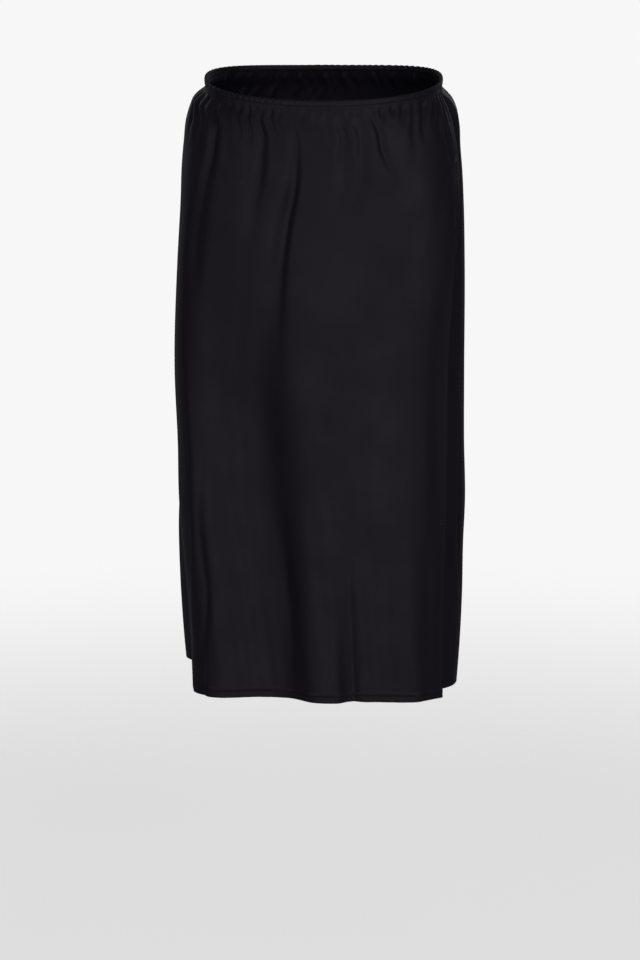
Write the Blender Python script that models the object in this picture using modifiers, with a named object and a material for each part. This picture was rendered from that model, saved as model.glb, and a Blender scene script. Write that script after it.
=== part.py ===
"""Gathered midi skirt of two loose panels on a narrow elastic waist casing.

The front is -Y, +X is the right-hand side of someone facing the front, and +Z is up.  The origin
is the middle of the waist opening.  Each panel is a grid of points: "across" runs from one slit
edge to the other (0 to 1), and "drop" runs down from the casing seam, as measured on the centre
front.
"""
import math
import random

import bpy
import numpy as np

# ---- driving dimensions, in metres ------------------------------------------------------------
CLOTH = 0.0012                # wall of one panel
HEM_WIDTH = 0.005             # narrow double-turned hem on the slit edges and the bottom
HEM_WALL = 0.0022             # wall where the hem is turned up twice
HEM_STEP = 0.0016             # over this width the wall thins from the hem to the single cloth
SEAM_GAP = 0.0003             # space left between pieces that are sewn together
FRONT_LENGTH = 0.728          # centre front, casing seam to hem edge
FRONT_HEM = -0.7405           # height of the front panel's bottom edge
BACK_HEM_LEFT = -0.7240       # the back panel's bottom edge rises a little on the left
BACK_HEM_RIGHT = -0.7385
FRONT_CUT = 0.466             # flat width of the cloth of each panel, before it is gathered
BACK_CUT = 0.608

COLUMN_MIN = 0.0017           # closest and widest spacing of each panel's upright grid lines
COLUMN_MAX = 0.0105
FRONT_FOLD_LINES = (0.298, 0.367, 0.455, 0.485)    # upright grid lines along the long folds
EXTRA_ROWS = (0.004, 0.0125, 0.058, 0.172, 0.276)
SECTION_SAMPLES = 2400        # points used to measure the length round a section

CASING_HEIGHT = 0.0066
CASING_WALL = 0.0036          # both layers of cloth with the elastic between them
CASING_ROUND = 0.0011         # rounding of its edges
WAIST_LEFT = 0.1445           # half widths and half depths of the casing's middle line
WAIST_RIGHT = 0.1455
WAIST_FRONT = 0.1000
WAIST_BACK = 0.1000
WAIST_SQUARE = 2.15
WAIST_LOW = -0.0055           # top of the casing at the centre front
WAIST_SLOPE = 0.250           # rise for each metre towards the back
WAIST_CREST = 0.030           # top of the casing at the centre back

# Front panel: the section at each drop.  left = half width on the left, edge_x and edge_y = the
# slit edge on the right, front = half depth, back = half depth behind the widest line,
# square = 2 for an ellipse and more for a boxier section, left_y = the slit edge on the left.
FRONT_COLUMNS = ("drop", "left", "edge_x", "edge_y", "front", "back", "square", "left_y")
FRONT_SECTIONS = (
    (0.000, 0.1455, 0.1425, -0.0280, 0.1010, 0.101, 2.15, 0.040),
    (0.008, 0.1470, 0.1450, -0.0300, 0.1030, 0.103, 2.15, 0.041),
    (0.018, 0.1585, 0.1504, -0.0320, 0.1052, 0.106, 2.18, 0.042),
    (0.029, 0.1638, 0.1549, -0.0340, 0.1075, 0.109, 2.20, 0.043),
    (0.045, 0.1690, 0.1591, -0.0370, 0.1100, 0.112, 2.25, 0.044),
    (0.072, 0.1725, 0.1643, -0.0420, 0.1140, 0.115, 2.30, 0.045),
    (0.100, 0.1752, 0.1666, -0.0480, 0.1170, 0.118, 2.60, 0.045),
    (0.140, 0.1770, 0.1660, -0.0700, 0.1210, 0.122, 2.80, 0.043),
    (0.210, 0.1812, 0.1600, -0.0930, 0.1255, 0.128, 3.10, 0.038),
    (0.345, 0.1858, 0.1521, -0.1060, 0.1285, 0.129, 3.50, 0.026),
    (0.425, 0.1830, 0.1517, -0.1090, 0.1295, 0.126, 3.80, 0.014),
    (0.500, 0.1817, 0.1515, -0.1105, 0.1305, 0.123, 4.10, 0.002),
    (0.553, 0.1776, 0.1506, -0.1110, 0.1315, 0.121, 4.20, -0.010),
    (0.620, 0.1711, 0.1483, -0.1115, 0.1325, 0.120, 4.60, -0.024),
    (0.685, 0.1668, 0.1478, -0.1120, 0.1335, 0.120, 4.80, -0.034),
    (0.728, 0.1655, 0.1475, -0.1125, 0.1350, 0.120, 4.90, -0.042),
)

# Back panel: left and right are its half widths, front is the half depth of the two ends that
# pass behind the front panel, turn = how far the section is turned (Y for each metre of X),
# right_y = the slit edge on the right, width = the cloth from there round to the left slit edge,
# tuck_left and tuck_right = how far each end is drawn in where the front panel covers it.
BACK_COLUMNS = (
    "drop", "left", "right", "front", "back", "square", "turn", "right_y", "width",
    "tuck_left", "tuck_right")
BACK_SECTIONS = (
    (0.000, 0.1452, 0.1460, 0.1007, 0.1010, 2.15, 0.00, -0.052, 0.460, 0.0022, 0.0018),
    (0.008, 0.1465, 0.1478, 0.1015, 0.1040, 2.15, 0.00, -0.052, 0.470, 0.0042, 0.0040),
    (0.018, 0.1540, 0.1582, 0.1030, 0.1080, 2.18, 0.00, -0.053, 0.492, 0.0042, 0.0065),
    (0.029, 0.1600, 0.1642, 0.1045, 0.1110, 2.20, 0.00, -0.054, 0.515, 0.0030, 0.0085),
    (0.045, 0.1650, 0.1678, 0.1060, 0.1140, 2.25, 0.00, -0.056, 0.535, 0.0030, 0.0085),
    (0.072, 0.1690, 0.1695, 0.1070, 0.1180, 2.28, 0.01, -0.058, 0.556, 0.0030, 0.0070),
    (0.100, 0.1715, 0.1720, 0.1060, 0.1220, 2.30, 0.02, -0.060, 0.575, 0.0030, 0.0060),
    (0.140, 0.1735, 0.1742, 0.1040, 0.1265, 2.32, 0.03, -0.063, 0.590, 0.0030, 0.0050),
    (0.210, 0.1770, 0.1758, 0.0980, 0.1320, 2.35, 0.06, -0.064, 0.602, 0.0030, 0.0030),
    (0.345, 0.1800, 0.1760, 0.0900, 0.1290, 2.40, 0.12, -0.061, 0.608, 0.0010, 0.0000),
    (0.425, 0.1805, 0.1765, 0.0880, 0.1250, 2.40, 0.15, -0.058, 0.608, 0.0010, 0.0000),
    (0.500, 0.1840, 0.1780, 0.0870, 0.1230, 2.40, 0.18, -0.060, 0.608, 0.0010, 0.0000),
    (0.553, 0.1853, 0.1758, 0.0860, 0.1220, 2.38, 0.20, -0.058, 0.608, 0.0000, 0.0000),
    (0.620, 0.1843, 0.1748, 0.0810, 0.1210, 2.36, 0.23, -0.055, 0.608, 0.0000, 0.0000),
    (0.685, 0.1816, 0.1723, 0.0790, 0.1200, 2.34, 0.24, -0.053, 0.608, 0.0000, 0.0000),
    (0.728, 0.1797, 0.1696, 0.0770, 0.1200, 2.32, 0.25, -0.050, 0.608, 0.0000, 0.0000),
)
TUCK_LEFT = (0.088, 0.072)    # each end starts to be drawn in this far from its slit edge,
TUCK_RIGHT = (0.045, 0.030)   # and is fully drawn in by the second distance

# Gathers of the front panel, from the right slit edge to the left one.  across = place on the
# panel (0 to 1), start and end = the drops between which the trough runs, deep and wide = its
# depth and half width in millimetres.
FRONT_GATHERS = (
    # across, start, end, deep, wide
    (0.020, 0.000, 0.050, 1.0, 2.6),
    (0.045, 0.000, 0.100, 2.5, 3.2),
    (0.072, 0.000, 0.066, 2.6, 3.0),
    (0.097, 0.000, 0.042, 3.2, 3.0),
    (0.130, 0.000, 0.060, 4.0, 4.0),
    (0.158, 0.000, 0.084, 2.2, 4.0),
    (0.186, 0.000, 0.034, 2.8, 3.4),
    (0.210, 0.000, 0.018, 2.2, 2.6),
    (0.236, 0.000, 0.028, 2.7, 2.8),
    (0.304, 0.012, 0.120, 2.0, 5.4),
    (0.350, 0.008, 0.140, 2.6, 5.6),
    (0.383, 0.004, 0.060, 1.3, 3.6),
    (0.409, 0.002, 0.050, 1.1, 3.4),
    (0.441, 0.000, 0.024, 1.3, 3.0),
    (0.508, 0.000, 0.034, 1.9, 3.2),
    (0.534, 0.000, 0.070, 2.8, 3.8),
    (0.564, 0.000, 0.190, 3.6, 5.6),
    (0.584, 0.000, 0.026, 1.9, 3.0),
    (0.602, 0.000, 0.086, 3.6, 4.0),
    (0.630, 0.000, 0.064, 1.6, 3.2),
    (0.657, 0.000, 0.036, 1.5, 3.0),
    (0.708, 0.000, 0.160, 4.6, 4.6),
    (0.748, 0.000, 0.046, 1.8, 3.4),
    (0.780, 0.000, 0.076, 3.0, 3.8),
    (0.817, 0.000, 0.074, 3.2, 3.4),
    (0.860, 0.000, 0.060, 1.7, 3.2),
    (0.900, 0.000, 0.044, 1.5, 3.0),
    (0.938, 0.000, 0.070, 1.7, 3.2),
    (0.972, 0.000, 0.040, 1.0, 2.6),
)
GATHER_SETS_IN = 0.006        # a gather reaches its depth over this drop, and over this share of
GATHER_GROWS = 0.12           # its length,
GATHER_FADES = 0.3            # starts to fade after this share of its length,
GATHER_WIDENS = 0.6           # and is wider by this share at its end
SWELL = 0.18                  # the cloth swells beside a trough by this share of its depth;
SWELL_AT = 2.1                # place and width of the swell, in half widths of the trough
SWELL_WIDE = 1.1
FINE_GATHER = 2.3             # a gather at least this deep (mm) has grid lines on its sides too,
GATHER_SIDE = 1.4             # this many half widths out

# The cloth is gathered unevenly along the casing: how far across each line of cloth is shifted at
# the seam, and the drop by which it hangs straight.
SHIFT_ACROSS = (0.00, 0.05, 0.10, 0.15, 0.20, 0.25, 0.30, 0.45, 0.60, 0.70, 0.80, 0.90, 1.00)
SHIFT_AT_SEAM = (0.0, -0.031, -0.040, -0.022, -0.004, 0.012, 0.020, 0.036, 0.038, 0.050, 0.076,
                 0.052, 0.0)
SHIFT_GONE = 0.045

# Long folds.  The path and the half widths (millimetres, towards the right and left slit edges)
# and the depth (millimetres, a ridge is negative) are given at the start, middle and end drops.
# round = 2 for a round trough, less for one that narrows to a crease and more for one with a
# flat bottom and steep sides.
FOLD_COLUMNS = (
    "start", "middle", "end", "at_start", "at_middle", "at_end", "right_start", "right_end",
    "left_start", "left_end", "deep_start", "deep_middle", "deep_end", "round")
FRONT_FOLDS = (
    # main fold, from the casing to the hem: a narrow gather that opens into a wide hollow, whose
    # right side is steeper than its left one
    (0.000, 0.100, 0.240, 0.478, 0.476, 0.460, 4.0, 7.0, 4.0, 14.0, 1.0, 6.5, 0.0, 2.0),
    (0.070, 0.440, 0.728, 0.575, 0.570, 0.596, 50.0, 57.0, 66.0, 95.0, 0.0, 17.0, 11.0, 2.0),
    (0.070, 0.440, 0.728, 0.573, 0.568, 0.596, 45.0, 60.0, 66.0, 82.0, 0.0, 17.0, 14.0, 4.0),
    (0.440, 0.610, 0.728, 0.474, 0.482, 0.500, 10.0, 11.0, 22.0, 24.0, 0.0, 5.0, 2.0, 1.6),
    # flatter stretches towards both sides
    (0.030, 0.280, 0.728, 0.130, 0.120, 0.110, 22.0, 24.0, 50.0, 46.0, 0.0, -4.0, -3.0, 2.0),
    (0.030, 0.280, 0.728, 0.740, 0.730, 0.720, 40.0, 36.0, 26.0, 26.0, 0.0, -6.0, -3.0, 2.0),
    # soft hollow below the deepest gather on the left
    (0.090, 0.160, 0.270, 0.712, 0.716, 0.706, 8.0, 12.0, 9.0, 14.0, 0.0, 4.0, 0.0, 2.0),
    # slanting fold on the right
    (0.004, 0.040, 0.105, 0.262, 0.252, 0.216, 3.2, 5.0, 3.2, 5.0, 1.0, 4.0, 0.0, 2.0),
    # second long fold, and the rounded ridge between it and the main one
    (0.500, 0.640, 0.728, 0.294, 0.298, 0.300, 6.0, 7.0, 9.0, 11.0, 0.0, 4.0, 7.0, 1.6),
    (0.440, 0.610, 0.728, 0.368, 0.368, 0.366, 20.0, 16.0, 20.0, 18.0, 0.0, -2.0, -10.0, 2.0),
    # ridge where the cloth turns towards the left side, with a hollow in front of it
    (0.230, 0.458, 0.728, 0.724, 0.738, 0.880, 5.0, 12.0, 5.0, 12.0, 0.0, -2.2, -2.0, 2.0),
    (0.360, 0.580, 0.728, 0.690, 0.755, 0.832, 7.0, 8.0, 7.0, 8.0, 0.0, 3.6, 2.6, 2.0),
    # hollow along the right slit edge, and the edge itself curling out
    (0.420, 0.600, 0.728, 0.060, 0.062, 0.058, 9.0, 10.0, 9.0, 10.0, 0.0, 3.0, 2.4, 2.0),
    (0.200, 0.450, 0.728, 0.000, 0.000, 0.000, 6.0, 6.0, 6.0, 6.0, 0.0, -1.2, -1.6, 2.0),
)

# Back panel: gathers as close as the front's, worked out by a loop with uneven places and sizes.
BACK_GATHER_COUNT = 30
BACK_GATHER_SHIFT = 0.28      # each place is moved by up to this share of the spacing
BACK_GATHER_END = (0.022, 0.120)
BACK_GATHER_DEEP = (1.0, 2.8)
BACK_GATHER_WIDE = (3.0, 4.4)
BACK_SEED = 11
BACK_FOLDS = (
    # hollow between the seat and each side, running down to the hem
    (0.160, 0.420, 0.728, 0.330, 0.315, 0.300, 18.0, 30.0, 18.0, 30.0, 0.0, 4.0, 8.0, 2.0),
    (0.190, 0.450, 0.728, 0.620, 0.635, 0.640, 18.0, 32.0, 18.0, 26.0, 0.0, 4.5, 9.0, 2.0),
    # soft hollow below the middle of the seat, and a ridge beside it
    (0.240, 0.480, 0.728, 0.480, 0.474, 0.468, 14.0, 18.0, 14.0, 22.0, 0.0, 2.5, 5.0, 2.0),
    (0.300, 0.560, 0.728, 0.545, 0.552, 0.556, 16.0, 20.0, 16.0, 20.0, 0.0, -2.0, -4.0, 2.0),
    # upright fold in the band that shows beside the front panel's right edge
    (0.330, 0.500, 0.690, 0.948, 0.940, 0.915, 3.0, 3.5, 3.0, 3.5, 0.0, 2.0, 0.0, 2.0),
    # hollow on the left side, behind the front panel's edge
    (0.360, 0.560, 0.728, 0.130, 0.128, 0.124, 12.0, 16.0, 12.0, 16.0, 0.0, 2.0, 4.0, 2.0),
)

# Waist casing: cloth scrunched along the elastic, closer in some places and flatter in others.
SCRUNCHES = 56
STEPS_A_SCRUNCH = 3
SCRUNCH_OUT = 0.0005
SCRUNCH_UP = 0.0004
SCRUNCH_DRIFT = ((1.4, 3, 1.0), (0.9, 7, 2.0))    # size, waves round the waist, start angle
SCRUNCH_FLATTER = (0.55, 0.45, 2, 2.6)            # mean, swing, waves round the waist, start

CREPE_BLACK = (0.0123, 0.0110, 0.0144, 1.0)
CREPE_ROUGHNESS = 0.62
MILLIMETRE = 0.001


def section_at(columns, table, drop):
    """Every column of a table at any drop, on smooth curves through the table's own values."""
    values = np.array(table)
    drops = values[:, 0]
    slopes = np.gradient(values, drops, axis=0)
    low = int(np.clip(np.searchsorted(drops, drop) - 1, 0, len(drops) - 2))
    step = drops[low + 1] - drops[low]
    t = (drop - drops[low]) / step
    bend = step * (slopes[low] * t * (1 - t) ** 2 - slopes[low + 1] * t * t * (1 - t))
    value = values[low] + (values[low + 1] - values[low]) * t * t * (3 - 2 * t) + bend
    return dict(zip(columns, value))


def ease(start, end, value):
    """0 before start and 1 past end, with a smooth rise between them."""
    t = np.clip((value - start) / (end - start), 0, 1)
    return t * t * (3 - 2 * t)


def ring(angle, left, right, front, back, square):
    """Point on a rounded section: angle 0 is the right side, 90 degrees the centre front."""
    c, s = np.cos(angle), np.sin(angle)
    wide, deep = np.where(c > 0, right, left), np.where(s > 0, front, back)
    reach = (np.abs(c / wide) ** square + np.abs(s / deep) ** square) ** (-1 / square)
    return reach * c, -reach * s


def angle_past_side(y, wide, deep, square):
    """How far past its widest point a section reaches y: towards the back if y is positive."""
    return math.atan2(y, wide * (1 - (abs(y) / deep) ** square) ** (1 / square))


def spread(first, last, across, section):
    """Angles that divide the stretch of a section from first to last evenly by length."""
    fine = np.linspace(first, last, SECTION_SAMPLES)
    x, y = ring(fine, *section)
    length = np.concatenate(([0.0], np.cumsum(np.hypot(np.diff(x), np.diff(y)))))
    return np.interp(across * length[-1], length, fine)


def angle_before(last, width, section):
    """Angle from which the stretch of a section up to the angle last has the given length."""
    fine = np.linspace(math.pi / 2, last, SECTION_SAMPLES)
    x, y = ring(fine, *section)
    still_to_go = np.cumsum(np.hypot(np.diff(x), np.diff(y))[::-1])[::-1]
    return fine[np.argmin(np.abs(still_to_go - width))]


def outward(x, y):
    """Level direction square to a line of points, pointing away from the skirt's middle."""
    along_x, along_y = np.gradient(x), np.gradient(y)
    length = np.hypot(along_x, along_y)
    return -along_y / length, along_x / length


def front_base(across, drop):
    """Front panel without folds, across from the right slit edge to the left one."""
    at = section_at(FRONT_COLUMNS, FRONT_SECTIONS, drop)
    square, front = at["square"], at["front"]
    right = at["edge_x"] / (1 - (-at["edge_y"] / front) ** square) ** (1 / square)
    section = (at["left"], right, front, at["back"], square)
    first = math.atan2(-at["edge_y"], at["edge_x"])
    left_depth = at["back"] if at["left_y"] > 0 else front
    last = math.pi + angle_past_side(at["left_y"], at["left"], left_depth, square)
    shift = np.interp(across, SHIFT_ACROSS, SHIFT_AT_SEAM) * (1 - ease(0, SHIFT_GONE, drop))
    return ring(spread(first, last, across + shift, section), *section)


def back_base(across, drop):
    """Back panel without folds, across from the left slit edge round the back to the right one."""
    at = section_at(BACK_COLUMNS, BACK_SECTIONS, drop)
    section = (at["left"], at["right"], at["front"], at["back"], at["square"])
    past = angle_past_side(at["right_y"], at["right"], at["front"], at["square"])
    last = 2 * math.pi - past
    first = angle_before(last, at["width"], section)
    x, y = ring(spread(first, last, across, section), *section)
    drawn_in = at["tuck_left"] * ease(*TUCK_LEFT, across * at["width"])
    drawn_in = drawn_in + at["tuck_right"] * ease(*TUCK_RIGHT, (1 - across) * at["width"])
    out_x, out_y = outward(x, y)
    x, y = x - drawn_in * out_x, y - drawn_in * out_y
    return x, y - at["turn"] * x


def gather_depth(gathers, across, drop, width):
    """How far the gathers draw the cloth in: narrow troughs with a low swell on each side."""
    total = np.zeros_like(across)
    for place, start, end, deep, wide in gathers:
        fading = ease(start + GATHER_FADES * (end - start), end, drop)
        full = start + GATHER_SETS_IN + GATHER_GROWS * (end - start)
        strength = ease(start, full, drop) * (1 - fading)
        half_width = MILLIMETRE * wide * (1 + GATHER_WIDENS * ease(start, end, drop))
        off = np.abs(across - place) * width / half_width
        shape = np.exp(-off ** 2) - SWELL * np.exp(-((off - SWELL_AT) / SWELL_WIDE) ** 2)
        total += MILLIMETRE * deep * strength * shape
    return total


def fold_depth(folds, across, drop, width):
    """How far the long folds draw the cloth in, each with its own path, widths and depth."""
    total = np.zeros_like(across)
    for row in folds:
        fold = dict(zip(FOLD_COLUMNS, row))
        if not fold["start"] <= drop <= fold["end"]:
            continue
        early = ease(fold["start"], fold["middle"], drop)
        late = ease(fold["middle"], fold["end"], drop)
        whole = (drop - fold["start"]) / (fold["end"] - fold["start"])
        place = fold["at_start"] + (fold["at_middle"] - fold["at_start"]) * early
        place += (fold["at_end"] - fold["at_middle"]) * late
        deep = fold["deep_start"] + (fold["deep_middle"] - fold["deep_start"]) * early
        deep += (fold["deep_end"] - fold["deep_middle"]) * late
        right = fold["right_start"] + (fold["right_end"] - fold["right_start"]) * whole
        left = fold["left_start"] + (fold["left_end"] - fold["left_start"]) * whole
        off = (across - place) * width / MILLIMETRE
        off = np.abs(off / np.where(off < 0, right, left))
        total += MILLIMETRE * deep * np.exp(-off ** fold["round"])
    return total


def back_gathers():
    """The back panel's gathers, evenly numbered but uneven in place, length, depth and width."""
    rng = random.Random(BACK_SEED)
    rows = []
    for number in range(BACK_GATHER_COUNT):
        moved = rng.uniform(-BACK_GATHER_SHIFT, BACK_GATHER_SHIFT)
        end = BACK_GATHER_END[0] + (BACK_GATHER_END[1] - BACK_GATHER_END[0]) * rng.random() ** 2
        deep, wide = rng.uniform(*BACK_GATHER_DEEP), rng.uniform(*BACK_GATHER_WIDE)
        rows.append(((number + 0.5 + moved) / BACK_GATHER_COUNT, 0.0, end, deep, wide))
    return tuple(rows)


# What tells the two panels apart: base shape, gathers, folds, flat width, and the height of the
# bottom edge at the two ends of "across".
FRONT_PANEL = (
    front_base, FRONT_GATHERS, FRONT_FOLDS, FRONT_CUT, FRONT_HEM, FRONT_HEM)
BACK_PANEL = (
    back_base, back_gathers(), BACK_FOLDS, BACK_CUT, BACK_HEM_LEFT, BACK_HEM_RIGHT)


def casing_top(y):
    """Height of the casing's top edge: it dips at the front and levels out at the back."""
    rise = WAIST_LOW + WAIST_SLOPE * (y + WAIST_FRONT)
    straight_crest = WAIST_LOW + WAIST_SLOPE * (WAIST_FRONT + WAIST_BACK)
    return rise - (straight_crest - WAIST_CREST) * np.clip(y / WAIST_BACK, 0, 1) ** 2


def panel_line(panel, across, drop):
    """Points of a panel's outer face along one level of the cloth."""
    base, gathers, folds, width, hem_first, hem_last = panel
    x, y = base(across, drop)
    out_x, out_y = outward(x, y)
    inward = gather_depth(gathers, across, drop, width) + fold_depth(folds, across, drop, width)
    seam_y = base(across, 0.0)[1]
    top = casing_top(seam_y) - CASING_HEIGHT - SEAM_GAP
    bottom = hem_first + (hem_last - hem_first) * across
    z = top + (bottom - top) * drop / FRONT_LENGTH
    return np.stack((x - inward * out_x, y - inward * out_y, z), axis=1)


def cloth_columns(gathers, fold_lines, width):
    """Where the grid's upright lines run: the hems' edges, gathers and folds, and fill between."""
    hem, shoulder = HEM_WIDTH / width, (HEM_WIDTH + HEM_STEP) / width
    wanted = [hem, shoulder, 1 - shoulder, 1 - hem, *fold_lines]
    for place, start, end, deep, wide in gathers:
        side = GATHER_SIDE * MILLIMETRE * wide / width
        wanted += [place - side, place, place + side] if deep >= FINE_GATHER else [place]
    closest = COLUMN_MIN / width
    kept = [0.0]
    for place in sorted(wanted):
        if kept[-1] + closest < place < 1 - closest:
            kept.append(place)
    kept.append(1.0)
    columns = []
    for left, right in zip(kept, kept[1:]):
        pieces = math.ceil((right - left) * width / COLUMN_MAX)
        columns += [left + (right - left) * k / pieces for k in range(pieces)]
    return np.array(columns + [1.0])


def add_object(name, points, faces, collection):
    """A mesh object with its own material: black crepe, a dull and slightly violet black."""
    material = bpy.data.materials.new(name + "_crepe")
    material.use_nodes = True
    shader = material.node_tree.nodes["Principled BSDF"]
    shader.inputs["Base Color"].default_value = CREPE_BLACK
    shader.inputs["Roughness"].default_value = CREPE_ROUGHNESS
    mesh = bpy.data.meshes.new(name)
    mesh.from_pydata([tuple(p) for p in points], [], faces)
    mesh.materials.append(material)
    mesh.shade_smooth()
    obj = bpy.data.objects.new(name, mesh)
    collection.objects.link(obj)
    return obj


def add_panel(name, panel, fold_lines, collection):
    """A panel: an open grid of its outer face, given its wall and thicker hems by Solidify."""
    columns = cloth_columns(panel[1], fold_lines, panel[3])
    hem_row, shoulder_row = FRONT_LENGTH - HEM_WIDTH, FRONT_LENGTH - HEM_WIDTH - HEM_STEP
    drops = [row[0] for row in FRONT_SECTIONS] + [*EXTRA_ROWS, hem_row, shoulder_row]
    drops = np.array(sorted(drops))
    points = np.concatenate([panel_line(panel, columns, drop) for drop in drops])
    count = len(columns)
    faces = [
        (row * count + col, row * count + col + 1, (row + 1) * count + col + 1, (row + 1) * count + col)
        for row in range(len(drops) - 1) for col in range(count - 1)]
    cloth = add_object(name, points, faces, collection)
    at_side = (columns <= columns[1]) | (columns >= columns[-2])
    below_seam = (drops > 0)[:, None]
    turned = (at_side & below_seam) | (drops >= hem_row)[:, None]
    hems = cloth.vertex_groups.new(name="hems")
    hems.add(np.flatnonzero(turned).tolist(), 1.0, "REPLACE")
    wall = cloth.modifiers.new("wall", "SOLIDIFY")
    wall.thickness = HEM_WALL
    wall.offset = -1
    wall.vertex_group = "hems"
    wall.thickness_vertex_group = CLOTH / HEM_WALL


def add_casing(collection):
    """The elastic casing: a flat rounded band round the waist, scrunched along its length."""
    steps = SCRUNCHES * STEPS_A_SCRUNCH
    middle = (WAIST_LEFT, WAIST_RIGHT, WAIST_FRONT, WAIST_BACK, WAIST_SQUARE)
    around = np.arange(steps) / steps
    x, y = ring(spread(0, 2 * math.pi, around, middle), *middle)
    along_x, along_y = np.roll(x, -1) - np.roll(x, 1), np.roll(y, -1) - np.roll(y, 1)
    length = np.hypot(along_x, along_y)
    out_x, out_y = -along_y / length, along_x / length
    turn = 2 * math.pi * around
    phase = SCRUNCHES * turn
    for size, waves, start in SCRUNCH_DRIFT:
        phase = phase + size * np.sin(waves * turn + start)
    mean, swing, waves, start = SCRUNCH_FLATTER
    strong = mean + swing * np.sin(waves * turn + start)
    half_wall, edge = CASING_WALL / 2, CASING_WALL / 2 - CASING_ROUND
    profile = (    # out from the middle line, up from the lower edge, share of the scrunch
        (edge, 0.0, 0.0), (half_wall, CASING_ROUND, 0.6),
        (half_wall, CASING_HEIGHT - CASING_ROUND, 1.0), (edge, CASING_HEIGHT, 1.0),
        (-edge, CASING_HEIGHT, 0.6), (-half_wall, CASING_HEIGHT / 2, 0.0), (-edge, 0.0, 0.0))
    loops = []
    for out, up, share in profile:
        reach = out + share * strong * SCRUNCH_OUT * np.sin(phase)
        px, py = x + reach * out_x, y + reach * out_y
        wave = np.cos(phase + turn) if up > CASING_HEIGHT / 2 else 0.0
        lift = up - CASING_HEIGHT + strong * SCRUNCH_UP * wave
        loops.append(np.stack((px, py, casing_top(py) + lift), axis=1))
    points = np.stack(loops, axis=1).reshape(-1, 3)
    sides = len(profile)
    faces = [
        (k * sides + j, k * sides + (j + 1) % sides,
         (k + 1) % steps * sides + (j + 1) % sides, (k + 1) % steps * sides + j)
        for k in range(steps) for j in range(sides)]
    add_object("waist_casing", points, faces, collection)


def main():
    for obj in list(bpy.data.objects):
        bpy.data.objects.remove(obj, do_unlink=True)
    skirt = bpy.data.collections.new("midi_skirt")
    bpy.context.scene.collection.children.link(skirt)
    add_panel("front_panel", FRONT_PANEL, FRONT_FOLD_LINES, skirt)
    add_panel("back_panel", BACK_PANEL, (), skirt)
    add_casing(skirt)


if __name__ == "__main__":
    main()
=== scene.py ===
"""Black midi skirt: two gathered crepe panels on an elastic casing, with stitches and light."""
import math
import random

import bpy
import numpy as np
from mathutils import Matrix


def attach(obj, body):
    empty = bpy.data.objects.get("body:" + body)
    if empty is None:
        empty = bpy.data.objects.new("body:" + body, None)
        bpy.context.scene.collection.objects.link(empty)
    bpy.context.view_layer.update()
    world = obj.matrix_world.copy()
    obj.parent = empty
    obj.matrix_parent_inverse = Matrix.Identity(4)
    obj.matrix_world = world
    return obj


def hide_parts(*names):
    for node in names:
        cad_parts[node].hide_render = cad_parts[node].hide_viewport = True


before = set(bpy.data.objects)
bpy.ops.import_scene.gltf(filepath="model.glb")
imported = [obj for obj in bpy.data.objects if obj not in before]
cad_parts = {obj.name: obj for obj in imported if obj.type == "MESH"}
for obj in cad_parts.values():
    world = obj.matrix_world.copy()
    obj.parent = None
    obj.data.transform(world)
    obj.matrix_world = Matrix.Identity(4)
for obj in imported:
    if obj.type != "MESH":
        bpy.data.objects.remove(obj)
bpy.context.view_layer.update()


# ---- Front panel ------------------------------------------------------------------------------
# The front of the skirt is one straight piece of matt-satin crepe, 47 cm wide and 73 cm long.
# Its two slit edges and its bottom are turned up twice and stitched.  Its top is gathered into
# the waist casing, so it hangs in fine gathers that open into a few long, soft folds.

MM = 0.001
CREPE_THICK = 0.6 * MM        # crepe is about 0.4 mm; a little more keeps the two faces apart
HEM_THICK = 1.5 * MM          # three layers of it, where the hem is turned up twice
HEM_WIDTH = 5 * MM
HEM_FADES_IN = 0.8 * MM       # the extra thickness goes over from this far inside the hem's
HEM_FADES_OUT = 0.7 * MM      # inner edge to this far past it
SLIT_HEMS_START = 6 * MM      # drop over which the slit edges' hems come out of the casing
STITCH_IN = 4.2 * MM          # from the edge to the line of stitches
STITCHES_START = 4 * MM       # drop at which the slit edges' stitches start
GROOVE_DEEP = 0.09 * MM       # how far the line of stitches sinks into the hem, and
GROOVE_WIDE = 0.7 * MM        # half the width of the groove that it makes
FRONT_LENGTH = 0.728          # centre front, casing seam to hem edge
FRONT_CUT = 0.466             # flat width of the cloth, before it is gathered
FRONT_HEM = -0.7405           # height of the bottom edge
CASING_HEIGHT = 6.6 * MM
SEAM_GAP = 0.3 * MM
TUCKED_IN = 2.4 * MM          # how far the gathered top runs up into the casing
WAIST_FRONT = 0.100           # half depth of the waist in front of its widest line,
WAIST_BACK = 0.100            # and behind it
WAIST_LOW = -0.0055           # height of the casing's top edge at the centre front,
WAIST_CREST = 0.030           # and at the centre back
WAIST_SLOPE = 0.250           # its rise for each metre towards the back, in the front half

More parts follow.
